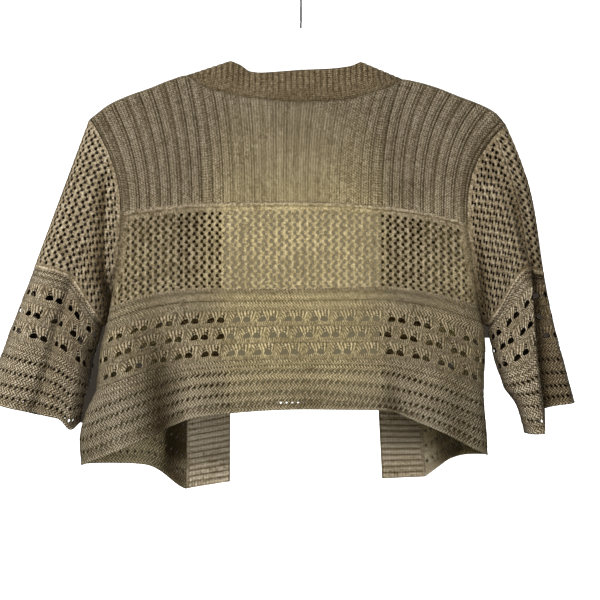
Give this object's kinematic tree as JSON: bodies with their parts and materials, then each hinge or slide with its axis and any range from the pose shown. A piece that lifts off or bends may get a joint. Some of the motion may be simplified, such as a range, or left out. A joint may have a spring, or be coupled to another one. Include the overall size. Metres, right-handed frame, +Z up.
{
  "type": "knitted shrug on a hanger",
  "caption": "Cropped open-front knitted shrug with elbow sleeves, ribbed yoke and band, pointelle mesh and leaf lace, hanging on a slim hanger with a wire hook.",
  "frame": {"origin": "the point inside the hook's crook where the hanger hangs", "axes": "+X to the wearer's right, +Y out of the open front, +Z up"},
  "size_m": [0.602, 0.0631, 0.5082],
  "materials": {
    "knit": "fine matt cotton-blend knit, heathered olive taupe",
    "rib_knit": "fine one-by-one rib, heathered olive taupe",
    "hanger_plastic": "smooth matt black",
    "hook_wire": "black enamelled wire"
  },
  "bodies": {
    "root": {"back": "knit", "front_left": "knit", "front_right": "knit", "sleeve_left_back": "knit", "sleeve_left_front": "knit", "sleeve_right_back": "knit", "sleeve_right_front": "knit", "band": "rib_knit", "hanger": "hanger_plastic", "hook": "hook_wire"}
  },
  "joints": []
}
